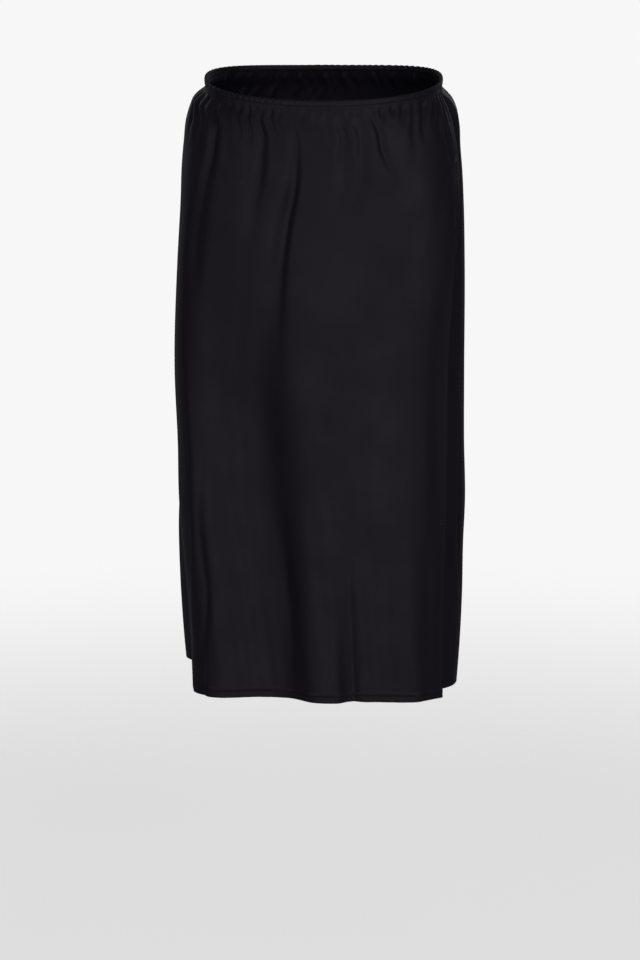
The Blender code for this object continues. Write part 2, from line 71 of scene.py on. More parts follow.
# Front panel: the section at each drop.  left = half width on the left, edge_x and edge_y = the
# slit edge on the right, front = half depth, back = half depth behind the widest line,
# square = 2 for an ellipse and more for a boxier section, left_y = the slit edge on the left.
FRONT_COLUMNS = ("drop", "left", "edge_x", "edge_y", "front", "back", "square", "left_y")
FRONT_SECTIONS = (
    (0.000, 0.1455, 0.1425, -0.0280, 0.1010, 0.101, 2.15, 0.040),
    (0.008, 0.1470, 0.1450, -0.0300, 0.1030, 0.103, 2.15, 0.041),
    (0.018, 0.1585, 0.1504, -0.0320, 0.1052, 0.106, 2.18, 0.042),
    (0.029, 0.1638, 0.1549, -0.0340, 0.1075, 0.109, 2.20, 0.043),
    (0.045, 0.1690, 0.1591, -0.0370, 0.1100, 0.112, 2.25, 0.044),
    (0.072, 0.1725, 0.1643, -0.0420, 0.1140, 0.115, 2.30, 0.045),
    (0.100, 0.1752, 0.1666, -0.0480, 0.1170, 0.118, 2.60, 0.045),
    (0.140, 0.1770, 0.1660, -0.0700, 0.1210, 0.122, 2.80, 0.043),
    (0.210, 0.1812, 0.1600, -0.0930, 0.1255, 0.128, 3.10, 0.038),
    (0.345, 0.1858, 0.1521, -0.1060, 0.1285, 0.129, 3.50, 0.026),
    (0.425, 0.1830, 0.1517, -0.1090, 0.1295, 0.126, 3.80, 0.014),
    (0.500, 0.1817, 0.1515, -0.1105, 0.1305, 0.123, 4.10, 0.002),
    (0.553, 0.1776, 0.1506, -0.1110, 0.1315, 0.121, 4.20, -0.010),
    (0.620, 0.1711, 0.1483, -0.1115, 0.1325, 0.120, 4.60, -0.024),
    (0.685, 0.1668, 0.1478, -0.1120, 0.1335, 0.120, 4.80, -0.034),
    (0.728, 0.1655, 0.1475, -0.1125, 0.1350, 0.120, 4.90, -0.042),
)

# Gathers of the front panel, from the right slit edge to the left one.  across = place on the
# panel (0 to 1), start and end = the drops between which the trough runs, deep and wide = its
# depth and half width in millimetres.
FRONT_GATHERS = (
    # across, start, end, deep, wide
    (0.020, 0.000, 0.050, 1.0, 2.6),
    (0.045, 0.000, 0.100, 2.5, 3.2),
    (0.072, 0.000, 0.066, 2.6, 3.0),
    (0.097, 0.000, 0.042, 3.2, 3.0),
    (0.130, 0.000, 0.060, 4.0, 4.0),
    (0.158, 0.000, 0.084, 2.2, 4.0),
    (0.186, 0.000, 0.034, 2.8, 3.4),
    (0.210, 0.000, 0.018, 2.2, 2.6),
    (0.236, 0.000, 0.028, 2.7, 2.8),
    (0.304, 0.012, 0.120, 2.6, 5.4),
    (0.350, 0.008, 0.140, 3.4, 5.6),
    (0.383, 0.004, 0.060, 1.3, 3.6),
    (0.409, 0.002, 0.050, 1.1, 3.4),
    (0.441, 0.000, 0.024, 1.3, 3.0),
    (0.508, 0.000, 0.034, 1.9, 3.2),
    (0.534, 0.000, 0.070, 2.8, 3.8),
    (0.570, 0.000, 0.200, 4.8, 6.8),
    (0.584, 0.000, 0.026, 1.9, 3.0),
    (0.602, 0.000, 0.086, 3.6, 4.0),
    (0.630, 0.000, 0.064, 1.6, 3.2),
    (0.657, 0.000, 0.036, 1.5, 3.0),
    (0.708, 0.000, 0.160, 4.6, 4.6),
    (0.748, 0.000, 0.046, 1.8, 3.4),
    (0.780, 0.000, 0.076, 3.0, 3.8),
    (0.817, 0.000, 0.074, 3.2, 3.4),
    (0.860, 0.000, 0.060, 1.7, 3.2),
    (0.900, 0.000, 0.044, 1.5, 3.0),
    (0.938, 0.000, 0.070, 1.7, 3.2),
    (0.972, 0.000, 0.040, 1.0, 2.6),
)
# A gather reaches its depth over the drop GATHER_SETS_IN and this share of its length, fades out
# past the share GATHER_FADES, and ends wider by the share GATHER_WIDENS.
GATHER_SETS_IN = 0.006
GATHER_GROWS = 0.12
GATHER_FADES = 0.3
GATHER_WIDENS = 0.6
# The cloth swells beside a gather: this share of its depth, this far away and this wide, both in
# half widths of the gather.
SWELL, SWELL_AT, SWELL_WIDE = 0.18, 2.1, 1.1

# Shallow gathers between the ones of the table: how many, how far each may lie from its even
# place (share of their spacing), and the limits of length (metres), depth and half width (both
# millimetres).
FINE_COUNT = 46
FINE_MOVED = 0.35
FINE_LONG = (0.008, 0.034)
FINE_DEEP = (0.25, 0.8)
FINE_WIDE = (1.8, 2.6)

# The cloth is gathered unevenly along the casing: how far across each line of cloth is shifted at
# the seam, and the drop by which it hangs straight.
SHIFT_ACROSS = (0.00, 0.05, 0.10, 0.15, 0.20, 0.25, 0.30, 0.45, 0.60, 0.70, 0.80, 0.90, 1.00)
SHIFT_AT_SEAM = (0.0, -0.031, -0.040, -0.022, -0.004, 0.012, 0.020, 0.036, 0.038, 0.050, 0.076,
                 0.052, 0.0)
SHIFT_GONE = 0.045

# Long folds.  The path and the half widths (millimetres, towards the right and left slit edges)
# and the depth (millimetres, a ridge is negative) are given at the start, middle and end drops.
# round = 2 for a round trough, less for one that narrows to a crease and more for one with a
# flat bottom and steep sides.
FOLD_COLUMNS = (
    "start", "middle", "end", "at_start", "at_middle", "at_end", "right_start", "right_end",
    "left_start", "left_end", "deep_start", "deep_middle", "deep_end", "round")
FRONT_FOLDS = (
    # main fold, from the casing to the hem: a narrow gather that opens into a wide hollow, whose
    # right side is steeper than its left one
    (0.000, 0.120, 0.360, 0.478, 0.474, 0.462, 4.0, 8.0, 6.0, 18.0, 1.0, 7.0, 0.0, 2.0),
    (0.070, 0.440, 0.728, 0.573, 0.563, 0.596, 50.0, 57.0, 66.0, 95.0, 0.0, 14.0, 10.5, 2.0),
    (0.070, 0.440, 0.728, 0.571, 0.561, 0.596, 45.0, 60.0, 66.0, 82.0, 0.0, 14.0, 13.0, 4.0),
    (0.440, 0.610, 0.728, 0.474, 0.482, 0.500, 10.0, 11.0, 22.0, 24.0, 0.0, 5.0, 2.0, 1.6),
    # flatter stretches towards both sides
    (0.030, 0.280, 0.728, 0.130, 0.120, 0.110, 22.0, 24.0, 50.0, 46.0, 0.0, -4.0, -3.0, 2.0),
    (0.030, 0.280, 0.728, 0.740, 0.730, 0.720, 40.0, 36.0, 26.0, 26.0, 0.0, -6.0, -3.0, 2.0),
    # soft hollow below the deepest gather on the left
    (0.090, 0.160, 0.270, 0.712, 0.716, 0.706, 8.0, 12.0, 9.0, 14.0, 0.0, 4.0, 0.0, 2.0),
    # slanting fold on the right
    (0.004, 0.040, 0.105, 0.262, 0.252, 0.216, 3.2, 5.0, 3.2, 5.0, 1.0, 4.0, 0.0, 2.0),
    # second long fold, and the rounded ridge between it and the main one
    (0.500, 0.640, 0.728, 0.294, 0.298, 0.300, 6.0, 8.0, 9.0, 11.0, 0.0, 3.4, 4.6, 1.6),
    (0.440, 0.610, 0.728, 0.368, 0.376, 0.382, 20.0, 22.0, 24.0, 42.0, 0.0, -2.0, -7.5, 4.0),
    # ridge where the cloth turns towards the left side, with a hollow in front of it
    (0.230, 0.458, 0.728, 0.724, 0.738, 0.880, 5.0, 12.0, 5.0, 12.0, 0.0, -2.2, -2.0, 2.0),
    (0.360, 0.580, 0.728, 0.690, 0.755, 0.832, 7.0, 8.0, 7.0, 8.0, 0.0, 3.6, 2.6, 2.0),
    # hollow and ridge along the right slit edge, and the edge itself curling out
    (0.420, 0.600, 0.728, 0.060, 0.062, 0.058, 9.0, 10.0, 9.0, 10.0, 0.0, 1.8, 1.4, 2.0),
    (0.100, 0.300, 0.728, 0.080, 0.078, 0.078, 16.0, 16.0, 36.0, 36.0, 0.0, -2.4, -2.4, 2.0),
    (0.200, 0.450, 0.728, 0.000, 0.000, 0.000, 6.0, 6.0, 6.0, 6.0, 0.0, -1.2, -1.6, 2.0),
)

# Unevenness of the hanging cloth: width and height in millimetres of each wave across it.  Down
# the cloth a wave sways to the sides (radians, and radians for each metre) and grows weaker and
# stronger (share, and radians for each metre).
SLACK_WAVES = ((37.0, 0.22), (23.0, 0.16), (61.0, 0.35), (97.0, 0.45))
SLACK_SWAY, SLACK_SWAY_TURN = 1.3, 9.0
SLACK_FADE, SLACK_FADE_TURN = 0.4, 7.0
SLACK_SETS_IN = (0.02, 0.12)  # the drops between which it sets in

ARC_POINTS = 2400             # points that measure the length round a section
GRID_HEM = 0.6 * MM           # spacing of the grid in the hems,
GRID_HEM_WIDE = 7.2 * MM      # up to this far from the edges
GRID_TOP = 0.075              # drop above which the rows are closer too, most of all at the seam
GRID_TOP_ROWS, GRID_TOP_POWER = 52, 1.25
GRID_LONG_ROWS = 108          # from there down to the bottom hem
RIM_ROUND = 0.7               # how far an edge bulges, as a share of half the cloth's thickness


def smooth_table(names, table, drop):
    """Every column of a table at the given drops, each as an array of one column: a cubic curve
    through the rows, whose slope at a row is the slope between its two neighbours."""
    values = np.array(table)
    drops = values[:, 0]
    slopes = np.gradient(values, drops, axis=0)
    low = np.clip(np.searchsorted(drops, drop) - 1, 0, len(drops) - 2)
    step = (drops[low + 1] - drops[low])[:, None]
    t = (drop - drops[low])[:, None] / step
    bend = step * (slopes[low] * t * (1 - t) ** 2 - slopes[low + 1] * t * t * (1 - t))
    value = values[low] + (values[low + 1] - values[low]) * t * t * (3 - 2 * t) + bend
    return {name: value[:, [k]] for k, name in enumerate(names)}


def ease(start, end, value):
    """0 before start and 1 past end; between them 3t^2 - 2t^3, t running from 0 to 1."""
    t = np.clip((value - start) / (end - start), 0, 1)
    return t * t * (3 - 2 * t)


def ring(angle, left, right, front, back, square):
    """A rounded section, |x/a|^n + |y/b|^n = 1, at an angle from the right side towards the
    front: a is the half width, b the half depth and n says how boxy it is."""
    c, s = np.cos(angle), np.sin(angle)
    wide, deep = np.where(c > 0, right, left), np.where(s > 0, front, back)
    reach = (np.abs(c / wide) ** square + np.abs(s / deep) ** square) ** (-1 / square)
    return reach * c, -reach * s


def angle_past_side(y, wide, deep, square):
    """Angle past its widest point at which a section reaches y, towards the back if y > 0."""
    return np.arctan2(y, wide * (1 - (np.abs(y) / deep) ** square) ** (1 / square))


def spread(first, last, across, section):
    """Angles at the given shares of the length of each row's stretch of its section."""
    fine = first + (last - first) * np.linspace(0, 1, ARC_POINTS)
    x, y = ring(fine, *section)
    steps = np.hypot(np.diff(x), np.diff(y))
    share = np.pad(np.cumsum(steps, axis=1), ((0, 0), (1, 0)))
    share /= share[:, -1:]
    across = np.broadcast_to(across, (len(fine), across.shape[-1]))
    return np.stack([np.interp(*row) for row in zip(across, share, fine)])


def outward(x, y):
    """Level direction square to each row of points, pointing away from the skirt's middle."""
    along_x, along_y = np.gradient(x, axis=-1), np.gradient(y, axis=-1)
    length = np.hypot(along_x, along_y)
    return -along_y / length, along_x / length


def front_base(across, drop):
    """The front panel without folds, from the right slit edge (0) to the left one (1).  The part
    of it that is up in the casing keeps the section at the seam."""
    drop = np.maximum(drop, 0)
    at = smooth_table(FRONT_COLUMNS, FRONT_SECTIONS, drop)
    square, front = at["square"], at["front"]
    # Half width of the section that passes through the slit edge.
    right = at["edge_x"] / (1 - (-at["edge_y"] / front) ** square) ** (1 / square)
    section = (at["left"], right, front, at["back"], square)
    first = np.arctan2(-at["edge_y"], at["edge_x"])
    left_depth = np.where(at["left_y"] > 0, at["back"], front)
    last = math.pi + angle_past_side(at["left_y"], at["left"], left_depth, square)
    shift = np.interp(across, SHIFT_ACROSS, SHIFT_AT_SEAM)
    shifted = across + shift * (1 - ease(0, SHIFT_GONE, drop[:, None]))
    return ring(spread(first, last, shifted, section), *section)


def gather_depth(gathers, across, drop, width):
    """Depth of the gathers in metres: for each, exp(-off^2), off being the distance in half
    widths, less a low swell on each side; it grows below the seam and dies out at its end."""
    total = 0
    for place, start, end, deep, wide in gathers:
        fading = ease(start + GATHER_FADES * (end - start), end, drop)
        full = start + GATHER_SETS_IN + GATHER_GROWS * (end - start)
        strength = ease(start, full, drop) * (1 - fading)
        half_width = MM * wide * (1 + GATHER_WIDENS * ease(start, end, drop))
        off = np.abs(across - place) * width / half_width
        shape = np.exp(-off ** 2) - SWELL * np.exp(-((off - SWELL_AT) / SWELL_WIDE) ** 2)
        total = total + MM * deep * strength * shape
    return total


def fold_depth(folds, across, drop, width):
    """Depth of the long folds in metres: each is exp(-off^round) about a path that bends from
    its start to its middle and its end, with its own half width on each side."""
    total = 0
    for row in folds:
        fold = dict(zip(FOLD_COLUMNS, row))
        start, middle, end = fold["start"], fold["middle"], fold["end"]
        early, late = ease(start, middle, drop), ease(middle, end, drop)
        whole = np.clip((drop - start) / (end - start), 0, 1)
        place = fold["at_start"] + (fold["at_middle"] - fold["at_start"]) * early
        place = place + (fold["at_end"] - fold["at_middle"]) * late
        deep = fold["deep_start"] + (fold["deep_middle"] - fold["deep_start"]) * early
        deep = deep + (fold["deep_end"] - fold["deep_middle"]) * late
        right = fold["right_start"] + (fold["right_end"] - fold["right_start"]) * whole
        left = fold["left_start"] + (fold["left_end"] - fold["left_start"]) * whole
        off = (across - place) * width / MM
        inside = (drop >= start) & (drop <= end)
        off = np.abs(off / np.where(off < 0, right, left))
        total = total + MM * deep * inside * np.exp(-off ** fold["round"])
    return total


def fine_gathers(count, seed):
    """Rows like those of the gather table, evenly spread but uneven in place and size."""
    rng = np.random.default_rng(seed)
    place = (np.arange(count) + 0.5 + rng.uniform(-FINE_MOVED, FINE_MOVED, count)) / count
    sizes = [rng.uniform(*limits, count) for limits in (FINE_LONG, FINE_DEEP, FINE_WIDE)]
    return np.stack((place, np.zeros(count), *sizes), axis=1)


def slack(across, drop, width, seed):
    """Sum of upright waves across the cloth, high * sin(across + sway) * strength, where the sway
    and the strength change slowly down it; it sets in below the gathers."""
    rng = np.random.default_rng(seed)
    total = 0
    for wide, high in SLACK_WAVES:
        start, sway, fade = rng.uniform(0, 2 * math.pi, 3)
        turn = 2 * math.pi * across * width / (MM * wide) + start
        turn = turn + SLACK_SWAY * np.sin(SLACK_SWAY_TURN * drop + sway)
        strength = 1 - SLACK_FADE + SLACK_FADE * np.sin(SLACK_FADE_TURN * drop + fade)
        total = total + MM * high * np.sin(turn) * strength
    return total * ease(*SLACK_SETS_IN, drop)


def casing_top(y):
    """Height of the casing's top edge: it rises from the front and levels out at the back."""
    straight_crest = WAIST_LOW + WAIST_SLOPE * (WAIST_FRONT + WAIST_BACK)
    rise = WAIST_LOW + WAIST_SLOPE * (y + WAIST_FRONT)
    return rise - (straight_crest - WAIST_CREST) * np.clip(y / WAIST_BACK, 0, 1) ** 2


def hem_share(from_edge):
    """1 in the turned-up hem and 0 past it, easing over a millimetre and a half."""
    return 1 - ease(HEM_WIDTH - HEM_FADES_IN, HEM_WIDTH + HEM_FADES_OUT, from_edge)


def hem_wall(across, drop, width):
    """Thickness of a panel: single cloth, and thicker in its turned-up edges."""
    sides = hem_share(np.minimum(across, 1 - across) * width) * ease(0, SLIT_HEMS_START, drop)
    turned = np.maximum(sides, hem_share(FRONT_LENGTH - drop))
    return CREPE_THICK + (HEM_THICK - CREPE_THICK) * turned


def cloth_places(across, drop, width):
    """Where each point lies on the flat cloth, in metres."""
    return np.stack(np.broadcast_arrays(across * width, drop), axis=-1)


def cloth_grid(width, spacing):
    """The grid lines: the given distance apart, but closer in the hems and in the gathers below
    the seam.  The first two rows are up in the casing."""
    hem = np.arange(0, GRID_HEM_WIDE, GRID_HEM)
    count = round((width - 2 * GRID_HEM_WIDE) / spacing)
    middle = np.linspace(GRID_HEM_WIDE, width - GRID_HEM_WIDE, count)
    across = np.concatenate((hem, middle, width - hem[::-1])) / width
    top = GRID_TOP * np.linspace(0, 1, GRID_TOP_ROWS) ** GRID_TOP_POWER
    long = np.linspace(GRID_TOP, FRONT_LENGTH - GRID_HEM_WIDE, GRID_LONG_ROWS)
    bottom = FRONT_LENGTH - hem[::-1]
    drop = np.concatenate(([-TUCKED_IN, -TUCKED_IN / 2], top, long[1:], bottom))
    return across[None, :], drop


def panel_surface(base, across, drop, width, depths, hem_first, hem_last):
    """Outer face of a panel: its base shape moved in by the given depths and by the groove of the
    stitches, exp(-off^2), and its height run evenly from the seam to the bottom edge, whose two
    ends have the given heights.  Rows go down the cloth, columns across it."""
    x, y = base(across, drop)
    out_x, out_y = outward(x, y)
    down = drop[:, None]
    # Height of the seam over each column.
    top = casing_top(base(across, np.zeros(1))[1]) - CASING_HEIGHT - SEAM_GAP
    z = top + (hem_first + (hem_last - hem_first) * across - top) * down / FRONT_LENGTH
    from_slit_line = np.minimum(across, 1 - across) * width - STITCH_IN
    from_low_line = FRONT_LENGTH - down - STITCH_IN
    groove = np.exp(-(from_slit_line / GROOVE_WIDE) ** 2) * ease(0, STITCHES_START, down)
    groove = np.maximum(groove, np.exp(-(from_low_line / GROOVE_WIDE) ** 2))
    inward = depths + GROOVE_DEEP * groove
    return np.stack((x - inward * out_x, y - inward * out_y, z), axis=-1)


def surface_normals(points):
    """Unit vectors square to a grid: the step across times the step down, as a cross product."""
    normal = np.cross(np.gradient(points, axis=1), np.gradient(points, axis=0))
    return normal / np.linalg.norm(normal, axis=-1, keepdims=True)


def add_mesh(name, points, quads, material, cloth_uv=None):
    """A smooth mesh from arrays of points and four-sided faces, with its cloth coordinates."""
    mesh = bpy.data.meshes.new(name)
    mesh.vertices.add(len(points))
    mesh.vertices.foreach_set("co", points.astype(np.float32).ravel())
    mesh.loops.add(quads.size)
    mesh.loops.foreach_set("vertex_index", quads.astype(np.int32).ravel())
    mesh.polygons.add(len(quads))
    mesh.polygons.foreach_set("loop_start", np.arange(0, quads.size, 4, dtype=np.int32))
    mesh.update(calc_edges=True)
    mesh.polygons.foreach_set("use_smooth", np.ones(len(quads), bool))
    if cloth_uv is not None:
        layer = mesh.uv_layers.new(name="cloth")
        layer.data.foreach_set("uv", cloth_uv[quads].astype(np.float32).ravel())
    mesh.materials.append(material)
    obj = bpy.data.objects.new(name, mesh)
    bpy.context.scene.collection.objects.link(obj)
    return obj


def grid_quads(index):
    """Four-sided faces between the neighbouring rows and columns of a grid of point numbers."""
    corners = (index[:-1, :-1], index[:-1, 1:], index[1:, 1:], index[1:, :-1])
    return np.stack(corners, axis=-1).reshape(-1, 4)


def add_cloth(name, outer, wall, cloth_uv, material):
    """A panel of cloth with both its faces: the inner one is the outer one moved in by the wall
    along the normals, and a rounded rim closes the four edges."""
    rows, cols = outer.shape[:2]
    inner = outer - wall[..., None] * surface_normals(outer)
    index = np.arange(rows * cols).reshape(rows, cols)
    edge = np.concatenate((index[0], index[1:, -1], index[-1, -2::-1], index[-2:0:-1, 0]))
    next_in = np.concatenate((index[1], index[1:, -2], index[-2, -2::-1], index[-2:0:-1, 1]))
    flat_outer, flat_inner = outer.reshape(-1, 3), inner.reshape(-1, 3)
    away = flat_outer[edge] - flat_outer[next_in]
    away /= np.linalg.norm(away, axis=1, keepdims=True)
    half = wall.reshape(-1)[edge, None] / 2
    rim = (flat_outer[edge] + flat_inner[edge]) / 2 + RIM_ROUND * half * away
    points = np.concatenate((flat_outer, flat_inner, rim))
    outer_quads = grid_quads(index)
    inner_quads = outer_quads[:, ::-1] + rows * cols
    inner_edge, rim_edge = edge + rows * cols, 2 * rows * cols + np.arange(len(edge))
    after, inner_after, rim_after = [np.roll(line, -1) for line in (edge, inner_edge, rim_edge)]
    to_rim = np.stack((after, edge, rim_edge, rim_after), axis=1)
    from_rim = np.stack((rim_after, rim_edge, inner_edge, inner_after), axis=1)
    quads = np.concatenate((outer_quads, inner_quads, to_rim, from_rim))
    flat_uv = cloth_uv.reshape(-1, 2)
    all_uv = np.concatenate((flat_uv, flat_uv, flat_uv[edge]))
    return add_mesh(name, points, quads, material, all_uv)


def linear(hex_colour):
    """An sRGB hex colour as the linear red, green, blue and alpha that the shader takes."""
    parts = np.array([int(hex_colour[k:k + 2], 16) for k in (1, 3, 5)]) / 255
    return (*np.where(parts <= 0.04045, parts / 12.92, ((parts + 0.055) / 1.055) ** 2.4), 1.0)


def add_node(tree, kind, inputs, **settings):
    """Adds a node with its settings; an input given as (node, output) is linked to it."""
    made = tree.nodes.new(kind)
    for name, value in settings.items():
        setattr(made, name, value)
    for socket, value in inputs.items():
        if isinstance(value, tuple) and isinstance(value[0], bpy.types.Node):
            tree.links.new(value[0].outputs[value[1]], made.inputs[socket])
        else:
            made.inputs[socket].default_value = value
    return made


CREPE_PIT_SHADE = "#0e0b14"        # painted shade in the crepe's pits
CREPE_PEBBLE_LIGHT = "#14101a"       # painted light on its pebbles
CREPE_ROUGH = 0.6             # roughness; patches that are pressed flatter have less,
CREPE_ROUGH_VARIES = 0.05     # and the others more, by this much
# At scale 1 a wave texture's upright bands are pi / 10 of a metre apart, and its slanting ones
# pi / 5 along each axis.
UPRIGHT_BANDS, SLANTING_BANDS = math.pi / 10, math.pi / 5


def woven_crepe(name):
    """Polyester crepe, piece-dyed black: tightly twisted yarns give a fine pebbled face that is
    nearly matt, with a dull, slightly violet shine where the light grazes the folds."""
    material = bpy.data.materials.new(name)
    material.use_nodes = True
    tree = material.node_tree
    shader = tree.nodes["Principled BSDF"]
    cloth = add_node(tree, "ShaderNodeUVMap", {}, uv_map="cloth")
    metres = (cloth, "UV")
    # Yarns are about 0.25 mm apart; the pebbles are drawn at 1.1 mm, so that they show at all.
    pebbles = add_node(tree, "ShaderNodeTexNoise", {
        "Vector": metres, "Scale": 1 / (1.1 * MM), "Detail": 2.0, "Roughness": 0.6})
    # The weave's warp rows, drawn some 1.8 mm apart for the same reason.
    warp = add_node(tree, "ShaderNodeTexWave", {
        "Vector": metres, "Scale": UPRIGHT_BANDS / (1.7765 * MM), "Distortion": 1.5,
        "Detail": 1.0}, bands_direction="X")
    # Three parts of pebbles to one of warp rows.
    grain = add_node(tree, "ShaderNodeMix", {
        "Factor": 0.25, "A": (pebbles, "Fac"), "B": (warp, "Fac")})
    # Patches some 6 cm across where the cloth has been pressed flatter and shines a little more.
    pressed = add_node(tree, "ShaderNodeTexNoise", {
        "Vector": metres, "Scale": 1 / 0.06, "Detail": 3.0, "Roughness": 0.5})
    # The colour follows the bump's height: painted shade in the low pits and painted light on the
    # raised pebbles.
    colour = add_node(tree, "ShaderNodeMix", {
        "Factor": (grain, "Result"), "A": linear(CREPE_PIT_SHADE), "B": linear(CREPE_PEBBLE_LIGHT)},
        data_type="RGBA")
    rough = add_node(tree, "ShaderNodeMapRange", {
        "Value": (pressed, "Fac"), "From Min": 0.3, "From Max": 0.7,
        "To Min": CREPE_ROUGH - CREPE_ROUGH_VARIES, "To Max": CREPE_ROUGH + CREPE_ROUGH_VARIES})
    bump = add_node(tree, "ShaderNodeBump", {
        "Height": (grain, "Result"), "Strength": 0.35, "Distance": 0.12 * MM})
    tree.links.new(colour.outputs["Result"], shader.inputs["Base Color"])
    tree.links.new(rough.outputs["Result"], shader.inputs["Roughness"])
    tree.links.new(bump.outputs["Normal"], shader.inputs["Normal"])
    # The fibres' own dull shine, and a trace of fuzz; both are slightly violet.
    shader.inputs["IOR"].default_value = 1.54
    shader.inputs["Specular IOR Level"].default_value = 0.3
    shader.inputs["Specular Tint"].default_value = linear("#e8dff1")
    shader.inputs["Sheen Weight"].default_value = 0.008
    shader.inputs["Sheen Roughness"].default_value = 0.45
    shader.inputs["Sheen Tint"].default_value = linear("#d8d2e0")
    return material


crepe = woven_crepe("black_crepe")
across, drop = cloth_grid(FRONT_CUT, spacing=2.1 * MM)
down = drop[:, None]
front_depths = (
    gather_depth(FRONT_GATHERS, across, down, FRONT_CUT)
    + gather_depth(fine_gathers(FINE_COUNT, seed=5), across, down, FRONT_CUT)
    + fold_depth(FRONT_FOLDS, across, down, FRONT_CUT)
    + slack(across, down, FRONT_CUT, seed=3))
front_points = panel_surface(
    front_base, across, drop, FRONT_CUT, front_depths, FRONT_HEM, FRONT_HEM)
front_cloth = add_cloth(
    "front_cloth", front_points, hem_wall(across, down, FRONT_CUT),
    cloth_places(across, down, FRONT_CUT), crepe)
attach(front_cloth, "root")
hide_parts("front_panel")

# One row of machine stitches holds each hem.  A real stitch is about 2.5 mm of 0.25 mm thread;
# here they are 3.2 mm apart and 0.34 mm thick, so that they show.
STITCH_PITCH = 3.2 * MM
STITCH_HALF_LENGTH = 1.2 * MM
STITCH_RADIUS = 0.17 * MM
STITCH_PROFILE = (            # place along half its length, share of its radius
    (-1.0, 0.35), (-0.6, 1.0), (0.6, 1.0), (1.0, 0.35))
STITCH_AHEAD = 0.3 * MM       # the next point on the line, which gives a stitch its direction


def on_grid(points, across, drop, at_across, at_drop):
    """Places on a panel between its grid points: the four corners of the grid square that each
    place lies in, weighted by how near it is to them."""
    col = np.clip(np.searchsorted(across, at_across) - 1, 0, len(across) - 2)
    row = np.clip(np.searchsorted(drop, at_drop) - 1, 0, len(drop) - 2)
    u = ((at_across - across[col]) / (across[col + 1] - across[col]))[:, None]
    v = ((at_drop - drop[row]) / (drop[row + 1] - drop[row]))[:, None]
    above = points[row, col] * (1 - u) + points[row, col + 1] * u
    below = points[row + 1, col] * (1 - u) + points[row + 1, col + 1] * u
    return above * (1 - v) + below * v


def add_stitches(name, points, across, drop, width, thread):
    """Stitches along both slit edges and the bottom: at every pitch along the line, a short
    four-sided rod that narrows at its ends and lies half sunk in the cloth."""
    low, right, left = FRONT_LENGTH - STITCH_IN, STITCH_IN, width - STITCH_IN
    line_u = np.array([right, right, left, left])
    line_v = np.array([STITCHES_START, low, low, STITCHES_START])
    run = np.concatenate(([0], np.cumsum(np.hypot(np.diff(line_u), np.diff(line_v)))))

    def on_line(grid, place):
        u, v = np.interp(place, run, line_u) / width, np.interp(place, run, line_v)
        return on_grid(grid, across[0], drop, u, v)

    middle = np.arange(STITCH_PITCH, run[-1], STITCH_PITCH)
    normals = surface_normals(points)
    rings = []
    for shift, thick in STITCH_PROFILE:
        place = shift * STITCH_HALF_LENGTH + middle
        centre, out = on_line(points, place), on_line(normals, place)
        side = np.cross(on_line(points, place + STITCH_AHEAD) - centre, out)
        side /= np.linalg.norm(side, axis=1, keepdims=True)
        size = thick * STITCH_RADIUS
        rings.append(np.stack((
            centre + size * side, centre + size * out, centre - size * side, centre - size * out),
            axis=1))
    shape = np.stack(rings, axis=1).reshape(-1, 3)
    # The points of a stitch go round its first ring, then round the next one, and so on.
    corner = np.arange(4)
    turned = np.roll(corner, -1)
    last_ring = 4 * (len(STITCH_PROFILE) - 1)
    ring_start = np.arange(0, last_ring, 4)[:, None]
    sides = np.stack((ring_start + corner, ring_start + turned, ring_start + 4 + turned,
                      ring_start + 4 + corner), axis=-1).reshape(-1, 4)
    ends = np.stack((corner[::-1], last_ring + corner))
    first = (last_ring + 4) * np.arange(len(middle))[:, None, None]
    quads = (first + np.concatenate((sides, ends))[None]).reshape(-1, 4)
    return add_mesh(name, shape, quads, thread)


def spun_thread(name, colour):
    """Spun polyester sewing thread, dyed to match: a little smoother and brighter than crepe."""
    material = bpy.data.materials.new(name)
    material.use_nodes = True
    tree = material.node_tree
    shader = tree.nodes["Principled BSDF"]
    place = add_node(tree, "ShaderNodeTexCoord", {})
    # The twist of the two plies, drawn every 2.4 mm along each axis, coarser than it is.
    twist = add_node(tree, "ShaderNodeTexWave", {
        "Vector": (place, "Object"), "Scale": SLANTING_BANDS / (2.3686 * MM),
        "Distortion": 0.5}, bands_direction="DIAGONAL")
    bump = add_node(tree, "ShaderNodeBump", {
        "Height": (twist, "Fac"), "Strength": 0.4, "Distance": 0.05 * MM})
    tree.links.new(bump.outputs["Normal"], shader.inputs["Normal"])
    shader.inputs["Base Color"].default_value = linear(colour)
    shader.inputs["Roughness"].default_value = 0.5
    shader.inputs["IOR"].default_value = 1.54
    return material


black_thread = spun_thread("black_thread", "#121018")
front_stitches = add_stitches(
    "front_stitches", front_points, across, drop, FRONT_CUT, black_thread)
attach(front_stitches, "root")


# ---- Back panel -------------------------------------------------------------------------------
# The back of the skirt is a wider piece of the same crepe, 61 cm across, hemmed in the same way.
# Its two ends pass behind the front panel's edges and are left open, as deep slits.

BACK_CUT = 0.608
BACK_HEM_LEFT = -0.7240       # the bottom edge rises a little on the left
BACK_HEM_RIGHT = -0.7385

